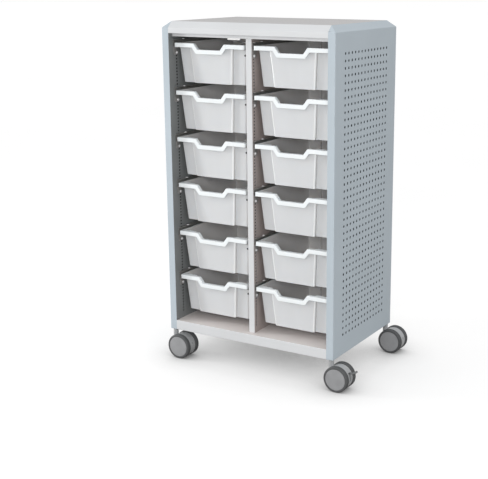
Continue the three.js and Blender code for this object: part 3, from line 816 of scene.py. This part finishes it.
def add_plain_sheets():
    """Base, back and catch plate."""
    base = round_bends(cad_copy("base_panel"), lambda edge: runs_along(edge, ACROSS))
    shelf = new_object("base_panel_folded", base, [WHITE_PAINT])
    # Painted shade: the base's large flat top is darker and warmer than the rest of the base
    repaint(shelf, BASE_TOP_PAINTED_SHADE, lambda face: face.normal.z > STRAIGHT and face.area > SHELF_LEAST_AREA)
    settle(shelf, "carcass", ["base_panel"])

    back = round_bends(cad_copy("back_panel"), lambda edge: runs_along(edge, UPWARDS)
                       and edge.verts[0].co.y < BACK_LOW.y + CLOSE)
    # The back's colour is painted light and shade of the bays
    sheet = new_object("back_panel_folded", back, [BACK_PAINTED_LIGHT_AND_SHADE])
    settle(sheet, "carcass", ["back_panel"])

    catch = cad_copy("catch_plate")
    corners = [edge for edge in catch.edges if runs_along(edge, BACKWARDS)]
    bmesh.ops.bevel(catch, geom=corners, offset=CATCH_CORNER, segments=BEND_SEGMENTS,
                    profile=ROUND_PROFILE, affect="EDGES")
    plate = new_object("catch_plate_folded", catch, [CATCH_WHITE])
    settle(plate, "carcass", ["catch_plate"])


def runner_solid(node, bay_middle):
    """A pressed runner: rounded corners at the foot of its lug and a rounded bend along the wall."""
    low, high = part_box(node)
    wall_face = max(low.x, high.x, key=lambda x: abs(x - bay_middle))

    def is_bend(edge):
        place = edge.verts[0].co
        return (runs_along(edge, BACKWARDS) and place.z > high.z - CLOSE
                and abs(place.x - wall_face) < CLOSE)

    solid = cad_copy(node)
    corners = [edge for edge in solid.edges if runs_along(edge, ACROSS)
               and edge.calc_length() < RUNNER_SHEET + CLOSE and edge.verts[0].co.z < low.z + CLOSE]
    bmesh.ops.bevel(solid, geom=corners, offset=LUG_CORNER, segments=LUG_CORNER_SEGMENTS,
                    profile=ROUND_PROFILE, affect="EDGES")
    return round_bends(solid, is_bend)


def add_runners():
    for column in COLUMNS:
        for row in ROWS:
            low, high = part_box(f"tray_{column}_{row}")
            for wall in ("outer", "inner"):
                node = f"runner_{column}_{row}_{wall}"
                solid = runner_solid(node, (low.x + high.x) / 2)
                runner = new_object(f"{node}_pressed", solid, [RUNNER_ZINC])
                settle(runner, "carcass", [node])


def add_screws():
    """Screw heads and bolt ends of the runners, and screws of the back."""
    heads = []
    bolt_ends = []
    back_heads = []
    for column, sign in COLUMNS.items():
        for row in BACK_SCREW_ROWS:
            place = Vector((sign * (BACK_HIGH.x - SHEET), BACK_HIGH.y - BACK_SCREW_INSET,
                            BACK_LOW.z + BACK_SCREW_FOOT + BACK_SCREW_PITCH * row))
            back_heads.append((place, Vector((-sign, 0, 0))))
        for row in ROWS:
            low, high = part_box(f"tray_{column}_{row}")
            centre = (low.x + high.x) / 2
            rim = high.z
            for wall, way in (("outer", sign), ("inner", -sign)):
                rail_low, rail_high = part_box(f"runner_{column}_{row}_{wall}")
                web = rail_high.x - RUNNER_SHEET if way > 0 else rail_low.x + RUNNER_SHEET
                setback = LINER_SLOT_SETBACK if wall == "outer" else DIVIDER_SLOT_SETBACK
                lug = Vector((web, FRONT + setback, rim - SCREW_BELOW_RIM))
                inward = Vector((-way, 0, 0))
                # On the divider's left the bolt ends are black, as painted shade of the gap
                if wall == "inner" and column == "left":
                    bolt_ends.append((lug, inward))
                else:
                    heads.append((lug, inward))
                rim_edge = centre + way * TRAY_HALF_WIDTH * MM
                flange = Vector((rim_edge, FRONT + FLANGE_SCREW_SETBACK, rail_high.z))
                heads.append((flange, Vector((0, 0, 1))))
    head = {"Diameter": SCREW_HEAD_DIAMETER, "Height": SCREW_HEAD_HEIGHT, "Crown": SCREW_CROWN,
            "Recess": SCREW_RECESS, "Finish": SCREW_ZINC}
    back_head = {**head, "Diameter": BACK_SCREW_DIAMETER, "Height": BACK_SCREW_HEIGHT}
    bolt_end = {"Diameter": BOLT_END_DIAMETER, "Height": BOLT_END_LENGTH, "Crown": BOLT_END_CROWN,
                "Recess": BOLT_END_RECESS, "Finish": BOLT_END_PAINTED_SHADE}
    for name, places, values in (("runner_screws", heads, head), ("back_screws", back_heads, back_head),
                                 ("runner_bolt_ends", bolt_ends, bolt_end)):
        made = points_object(name, places)
        run_tree(made, SCREWS, values)
        settle(made, "carcass")


def dip_line(drop):
    """(x, z) from the middle of the hand hold to its edge, for a line a given distance under the rim."""
    slope = math.hypot(DIP_HALF_TOP - DIP_HALF_FLOOR, DIP_DEPTH)
    right = (DIP_DEPTH / slope, -(DIP_HALF_TOP - DIP_HALF_FLOOR) / slope)
    shift = drop * right[0] / (1 - right[1])
    foot = Vector((DIP_HALF_FLOOR + shift, -DIP_DEPTH - drop))
    crest = Vector((DIP_HALF_TOP + shift, -drop))
    points = [(0.0, foot.y)]
    climb = (crest - foot).normalized()
    for corner, before, after, radius in (
            (foot, Vector((1, 0)), climb, DIP_FILLET + DIP_FILLET_GAIN * drop),
            (crest, climb, Vector((1, 0)), max(DIP_FILLET - DIP_FILLET_LOSS * drop, DIP_FILLET / 2))):
        half_turn = before.angle(after) / 2
        reach = radius * math.tan(half_turn)
        start = corner - before * reach
        side = 1 if before.cross(after) > 0 else -1
        normal = Vector((-before.y, before.x)) * side
        centre = start + normal * radius
        for i in range(DIP_FILLET_STEPS + 1):
            turn = Matrix.Rotation(side * 2 * half_turn * i / DIP_FILLET_STEPS, 2)
            points.append(tuple(centre - turn @ normal * radius))
        if corner is foot:
            points.append(tuple((foot + crest) / 2))
    points.append((DIP_EDGE, -drop))
    return points


def rim_quarter(inset, drop):
    """A quarter of a ring round the rim, a given distance in from its edge and under its top."""
    y = TRAY_HALF_LENGTH - inset
    points = [(x, y, z) for x, z in dip_line(drop)]
    points += [(DIP_EDGE + RIM_STATION_PITCH * (i + 1), y, -drop) for i in range(RIM_STATIONS)]
    points.append((RIM_LAST_STATION, y, -drop))
    radius = RIM_CORNER - inset
    centre = (TRAY_HALF_WIDTH - RIM_CORNER, TRAY_HALF_LENGTH - RIM_CORNER)
    points += [(px, py, -drop) for px, py in arc(*centre, radius, 90, 0, CORNER_STEPS)]
    points += [(TRAY_HALF_WIDTH - inset, py, -drop) for py in SIDE_STATIONS]
    return points


def wall_quarter(inset, level=None, drop=0.0):
    """A quarter of a ring on the tub's wall, level all round, or under the rim's top by a drop."""
    depth = drop if level is None else -level
    lean = TRAY_DRAFT * depth / TRAY_HEIGHT
    half_x = TUB_HALF_WIDTH - inset - lean
    panel_x = END_PANEL_HALF - inset - lean
    panel_y = TUB_HALF_LENGTH - inset - lean
    corner_y = panel_y - END_PANEL_STEP
    squeeze = (panel_x - END_PANEL_NOSE - END_PANEL_MARGIN) / DIP_EDGE
    points = []
    for x, z in dip_line(drop if level is None else RIM_PLATE):
        here = z if level is None else level
        points.append((x * min(squeeze, 1), panel_y + lean + TRAY_DRAFT * here / TRAY_HEIGHT, here))
    z = -depth
    nose = arc(panel_x - END_PANEL_NOSE, panel_y - END_PANEL_NOSE, END_PANEL_NOSE,
               90, 0, END_PANEL_NOSE_STEPS)
    cove = arc(panel_x + END_PANEL_COVE, corner_y + END_PANEL_COVE, END_PANEL_COVE,
               180, 270, END_PANEL_COVE_STEPS)
    points += [(x, y, z) for x, y in nose + cove]
    radius = max(TUB_CORNER - inset, TUB_LEAST_CORNER)
    points.append(((panel_x + END_PANEL_COVE + half_x - radius) / 2, corner_y, z))
    points += [(x, y, z) for x, y in arc(half_x - radius, corner_y - radius, radius, 90, 0, CORNER_STEPS)]
    points += [(half_x, y, z) for y in SIDE_STATIONS]
    return points


def whole_ring(quarter):
    """Repeats a quarter, from the Y axis to the X axis, in the other three."""
    ring = []
    for sx, sy, back in ((1, -1, False), (1, 1, True), (-1, 1, False), (-1, -1, True)):
        part = [Vector((sx * x, sy * y, z)) * MM for x, y, z in quarter]
        part = part[::-1] if back else part
        ring += part[:-1]
    return ring


def tray_solid():
    """The tray as rings from its inner floor up over the rim and down to its outer floor."""
    inner_floor = TRAY_FLOOR - TRAY_HEIGHT
    part_fillet = FOOT_FILLET_SHARE * FOOT_FILLET
    quarters = [
        wall_quarter(TRAY_WALL + FOOT_FILLET, inner_floor),
        wall_quarter(TRAY_WALL + part_fillet, inner_floor + part_fillet),
        wall_quarter(TRAY_WALL, inner_floor + FOOT_FILLET),
        wall_quarter(TRAY_WALL, SHOULDER),
    ]
    quarters += [wall_quarter(TRAY_WALL - thinner, drop=drop) for thinner, drop in WALL_TOP]
    rim_start = len(quarters) - 2
    quarters += [rim_quarter(inset, drop) for inset, drop in RIM_SECTION]
    rim_end = len(quarters)
    quarters += [
        wall_quarter(0.0, drop=RIM_PLATE),
        wall_quarter(0.0, SHOULDER),
        wall_quarter(0.0, FOOT_FILLET - TRAY_HEIGHT),
        wall_quarter(part_fillet, part_fillet - TRAY_HEIGHT),
        wall_quarter(FOOT_FILLET, -TRAY_HEIGHT),
    ]
    solid = rings_to_solid([whole_ring(q) for q in quarters])
    count = len(whole_ring(quarters[0]))
    solid.faces.ensure_lookup_table()
    # Rim rings get the rim's painted light, the rings inside the tray its painted warm shade
    for ring in range(rim_end):
        for face in range(ring * count, (ring + 1) * count):
            solid.faces[face].material_index = RIM if ring >= rim_start else INSIDE
    # The inner floor gets the painted warm shade too
    solid.faces[-2].material_index = INSIDE
    for face in solid.faces[rim_end * count:-2]:
        middle = face.calc_center_median() / MM
        edge = END_PANEL_HALF + TRAY_DRAFT * middle.z / TRAY_HEIGHT
        across = abs(face.normal.x)
        # Painted highlight on the end panel's rounded nose, painted shade on the step wall beside it
        if across > SLANTING and abs(face.normal.y) > SLANTING and abs(middle.x) < edge:
            face.material_index = EDGE
        elif across > SIDEWAYS and abs(middle.x) < edge + END_PANEL_COVE:
            face.material_index = STEP
    return solid


def add_trays():
    """Twelve copies of the tray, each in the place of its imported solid."""
    pattern = tray_solid()
    for column in COLUMNS:
        for row in ROWS:
            node = f"tray_{column}_{row}"
            low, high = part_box(node)
            place = Vector(((low.x + high.x) / 2, (low.y + high.y) / 2, high.z))
            tray = new_object(f"{node}_moulded", moved(pattern.copy(), place), TRAY_FINISHES)
            settle(tray, node, [node])
    pattern.free()


AXLE = Vector((TRAIL, 0, AXLE_HEIGHT))
ALONG_Y = Vector((0, 1, 0))
ALONG_Z = Vector((0, 0, 1))


def rounded_drum(radius, half, fillet):
    """Profile of a drum with rounded edges, from axis to axis."""
    lower = arc(radius - fillet, fillet - half, fillet, -90, 0, DRUM_FILLET_STEPS)
    upper = arc(radius - fillet, half - fillet, fillet, 0, 90, DRUM_FILLET_STEPS)
    return [(0, -half), (1, -half), *lower, *upper, (1, half), (0, half)]


def neck_solid():
    """Neck with a shallow groove near its top, and the stem above it."""
    stem_top = PANEL_BOTTOM / MM + STEM_LENGTH
    profile = [(0, AXLE_HEIGHT), (NECK_RADIUS, AXLE_HEIGHT)]
    profile += [(NECK_RADIUS - narrower, NECK_TOP - below) for narrower, below in NECK_SECTION]
    profile += [(STEM_RADIUS, NECK_TOP), (STEM_RADIUS, stem_top - STEM_CHAMFER),
                (STEM_RADIUS - STEM_CHAMFER, stem_top), (0, stem_top)]
    return turned(profile, Vector((0, 0, 0)), ALONG_Z, STEM_SEGMENTS)


def housing_solid(braked):
    """Drum between the wheels, with its neck, stem and axle, and a slot for the pedal or a blind hole."""
    drum = turned(rounded_drum(DRUM_RADIUS, DRUM_HALF, DRUM_FILLET), AXLE, ALONG_Y)
    if braked:
        low, high = PEDAL_SLOT
        sector = arc(TRAIL, AXLE_HEIGHT, PEDAL_SLOT_ROOT, high, low, PEDAL_SLOT_STEPS)
        sector += arc(TRAIL, AXLE_HEIGHT, PEDAL_SLOT_TIP, low, high, PEDAL_SLOT_STEPS)
        half = PEDAL_SLOT_HALF_WIDTH * MM
        tool = prism_y([(x * MM, z * MM) for x, z in sector], -half, half)
    else:
        way = Vector((math.cos(BLANK_HOLE_ANGLE), 0, math.sin(BLANK_HOLE_ANGLE)))
        tool = turned(BLANK_HOLE, AXLE, ALONG_Y, BLANK_HOLE_SEGMENTS)
        bmesh.ops.rotate(tool, verts=tool.verts, cent=AXLE * MM,
                         matrix=ALONG_Y.rotation_difference(way).to_matrix())
    drum = boolean(drum, tool, "DIFFERENCE")
    rod = [(0, -AXLE_HALF), (AXLE_RADIUS, -AXLE_HALF), (AXLE_RADIUS, AXLE_HALF), (0, AXLE_HALF)]
    axle = turned(rod, AXLE, ALONG_Y, AXLE_SEGMENTS)
    return boolean(boolean(drum, neck_solid(), "UNION"), axle, "UNION")


def wheel_solid():
    """Wheel at the axle, from its inner face outwards: ridged tread, round shoulders, domed hub cap."""
    profile = [(0, HUB_BORE_DEPTH), (HUB_BORE, HUB_BORE_DEPTH), (HUB_BORE, 0)]
    profile += [(TREAD_RADIUS + out, along) for out, along in TREAD_INNER]
    for middle in TREAD_GROOVES:
        profile += [(TREAD_RADIUS + out, middle + along) for out, along in TREAD_GROOVE]
    profile += [(TREAD_RADIUS + out, WHEEL_WIDTH + along) for out, along in TREAD_OUTER]
    profile += [(HUB_RADIUS + out, WHEEL_WIDTH + along) for out, along in HUB_SEAM]
    profile += [(radius, WHEEL_WIDTH + along) for radius, along in HUB_DOME]
    solid = turned(profile, AXLE, ALONG_Y)
    for face in solid.faces:
        centre = face.calc_center_median() / MM - AXLE
        if math.hypot(centre.x, centre.z) < HUB_RADIUS + HUB_PAINT_EDGE:
            face.material_index = 1
    return solid


def pedal_solid():
    """Flat lever with a thicker ribbed pad at its tip."""
    half = PEDAL_HALF_THICKNESS
    pad = PEDAL_TIP - PEDAL_PAD
    top = [(pad, half)]
    for i in range(PEDAL_RIBS):
        x = pad + PEDAL_RIB_START + PEDAL_RIB_PITCH * i
        rise = half + PEDAL_PAD_SLOPE * (x - pad)
        top += [(x + along, rise + up) for along, up in PEDAL_RIB]
    hook = [(PEDAL_TIP + along, up) for along, up in PEDAL_HOOK]
    outline = [(PEDAL_ROOT, -half), (pad, -half), *hook, *reversed(top), (PEDAL_ROOT, half)]
    solid = prism_y([((TRAIL + x) * MM, (AXLE_HEIGHT + z) * MM) for x, z in outline],
                    -PEDAL_HALF_WIDTH * MM, PEDAL_HALF_WIDTH * MM)
    tip = (TRAIL + PEDAL_TIP - 1) * MM
    corners = [edge for edge in solid.edges if runs_along(edge, UPWARDS)
               and edge.calc_length() > PEDAL_CORNER_LEAST * MM and edge.verts[0].co.x > tip]
    bmesh.ops.bevel(solid, geom=corners, offset=PEDAL_CORNER * MM, segments=BEND_SEGMENTS,
                    profile=ROUND_PROFILE, affect="EDGES")
    bmesh.ops.rotate(solid, verts=solid.verts, cent=AXLE * MM, matrix=Matrix.Rotation(-PEDAL_ANGLE, 3, "Y"))
    return solid


def add_castors():
    """Four castors: a housing and two wheels each, and a brake pedal on two of them."""
    wheel = moved(wheel_solid(), Vector((0, WHEEL_SEAT * MM, 0)))
    near = wheel.copy()
    bmesh.ops.rotate(near, verts=near.verts, cent=AXLE * MM, matrix=Matrix.Rotation(math.pi, 3, "Z"))
    housings = {braked: housing_solid(braked) for braked in (False, True)}
    pedal = pedal_solid()
    for end, y_sign in CASTOR_ENDS.items():
        for side, x_sign in COLUMNS.items():
            label = f"{end}_{side}"
            braked = x_sign != y_sign
            near_low, near_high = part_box(f"wheel_{label}_near")
            far_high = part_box(f"wheel_{label}_far")[1]
            stem_x = (near_low.x + near_high.x) / 2 - TRAIL * MM
            place = Vector((stem_x, (near_low.y + far_high.y) / 2, 0))
            solid = moved(housings[braked].copy(), place)
            housing = new_object(f"castor_{label}_housing", solid, [HOUSING_GREY])
            settle(housing, f"castor_{label}", [f"castor_{label}"])
            for where, pattern in (("near", near), ("far", wheel)):
                node = f"wheel_{label}_{where}"
                tyre = new_object(f"{node}_turned", moved(pattern.copy(), place), [TYRE_GREY, HUB_GREY])
                settle(tyre, node, [node])
            if braked:
                node = f"brake_pedal_{label}"
                lever = new_object(f"{node}_ribbed", moved(pedal.copy(), place), [PEDAL_GREY])
                settle(lever, node, [node])
    for pattern in (wheel, near, pedal, *housings.values()):
        pattern.free()


def add_floor():
    """A pale floor that the camera sees with a soft shadow under the unit."""
    solid = bmesh.new()
    bmesh.ops.create_grid(solid, x_segments=1, y_segments=1, size=FLOOR_HALF)
    material, tree, shader, place = new_material("studio_floor")
    tone = noise(tree, place, FLOOR_TONE_SCALE)
    seen = add_node(tree, "ShaderNodeLightPath").outputs["Is Camera Ray"]
    paper = add_node(tree, "ShaderNodeMix", {
        "Factor": seen, 6: FLOOR_BOUNCE, 7: shades(tree, tone, *FLOOR_PAPER)}, data_type="RGBA")
    tree.links.new(paper.outputs[2], shader.inputs["Base Color"])
    glow = FLOOR_GLOW
    for reach, depth in FLOOR_SHADOWS:
        nearby = add_node(tree, "ShaderNodeAmbientOcclusion", {"Distance": reach}, samples=SHADOW_SAMPLES)
        shadow = math_of(tree, "POWER", nearby.outputs["AO"], depth)
        glow = math_of(tree, "MULTIPLY", shadow, glow)
    shader.inputs["Roughness"].default_value = FLOOR_ROUGHNESS
    shader.inputs["Emission Color"].default_value = (1, 1, 1, 1)
    tree.links.new(math_of(tree, "MULTIPLY", glow, seen), shader.inputs["Emission Strength"])
    new_object("studio_floor", solid, [material])


def add_light(name, place, target, size, power):
    light = bpy.data.lights.new(name, "AREA")
    light.shape = "RECTANGLE"
    light.size, light.size_y = size
    light.energy = power
    made = bpy.data.objects.new(name, light)
    made.location = place
    made.rotation_euler = (Vector(target) - Vector(place)).to_track_quat("-Z", "Y").to_euler()
    bpy.context.scene.collection.objects.link(made)


def add_studio():
    """Floor, even light that the camera sees as white, and two soft lights."""
    add_floor()
    world = bpy.data.worlds.new("studio")
    world.use_nodes = True
    background = world.node_tree.nodes["Background"]
    background.inputs["Color"].default_value = (1, 1, 1, 1)
    seen = add_node(world.node_tree, "ShaderNodeLightPath").outputs["Is Camera Ray"]
    strength = between(world.node_tree, seen, ROOM_LIGHT, SEEN_LIGHT)
    world.node_tree.links.new(strength, background.inputs["Strength"])
    scene = bpy.context.scene
    scene.world = world
    for name, settings in LIGHTS.items():
        add_light(name, *settings)
    scene.view_settings.view_transform = "Standard"
    scene.view_settings.look = "None"


def add_camera():
    camera = bpy.data.cameras.new("photo_camera")
    camera.sensor_width = CAMERA_SENSOR
    camera.lens = CAMERA_LENS
    camera.shift_x, camera.shift_y = CAMERA_SHIFT
    made = bpy.data.objects.new("photo_camera", camera)
    made.location = CAMERA_PLACE
    aim = Vector(CAMERA_TARGET) - made.location
    made.rotation_euler = aim.to_track_quat("-Z", "Y").to_euler()
    bpy.context.scene.collection.objects.link(made)
    bpy.context.scene.camera = made


add_side_panels()
add_liners()
add_divider()
add_top()
add_plain_sheets()
add_runners()
add_screws()
add_trays()
add_castors()
add_studio()
add_camera()
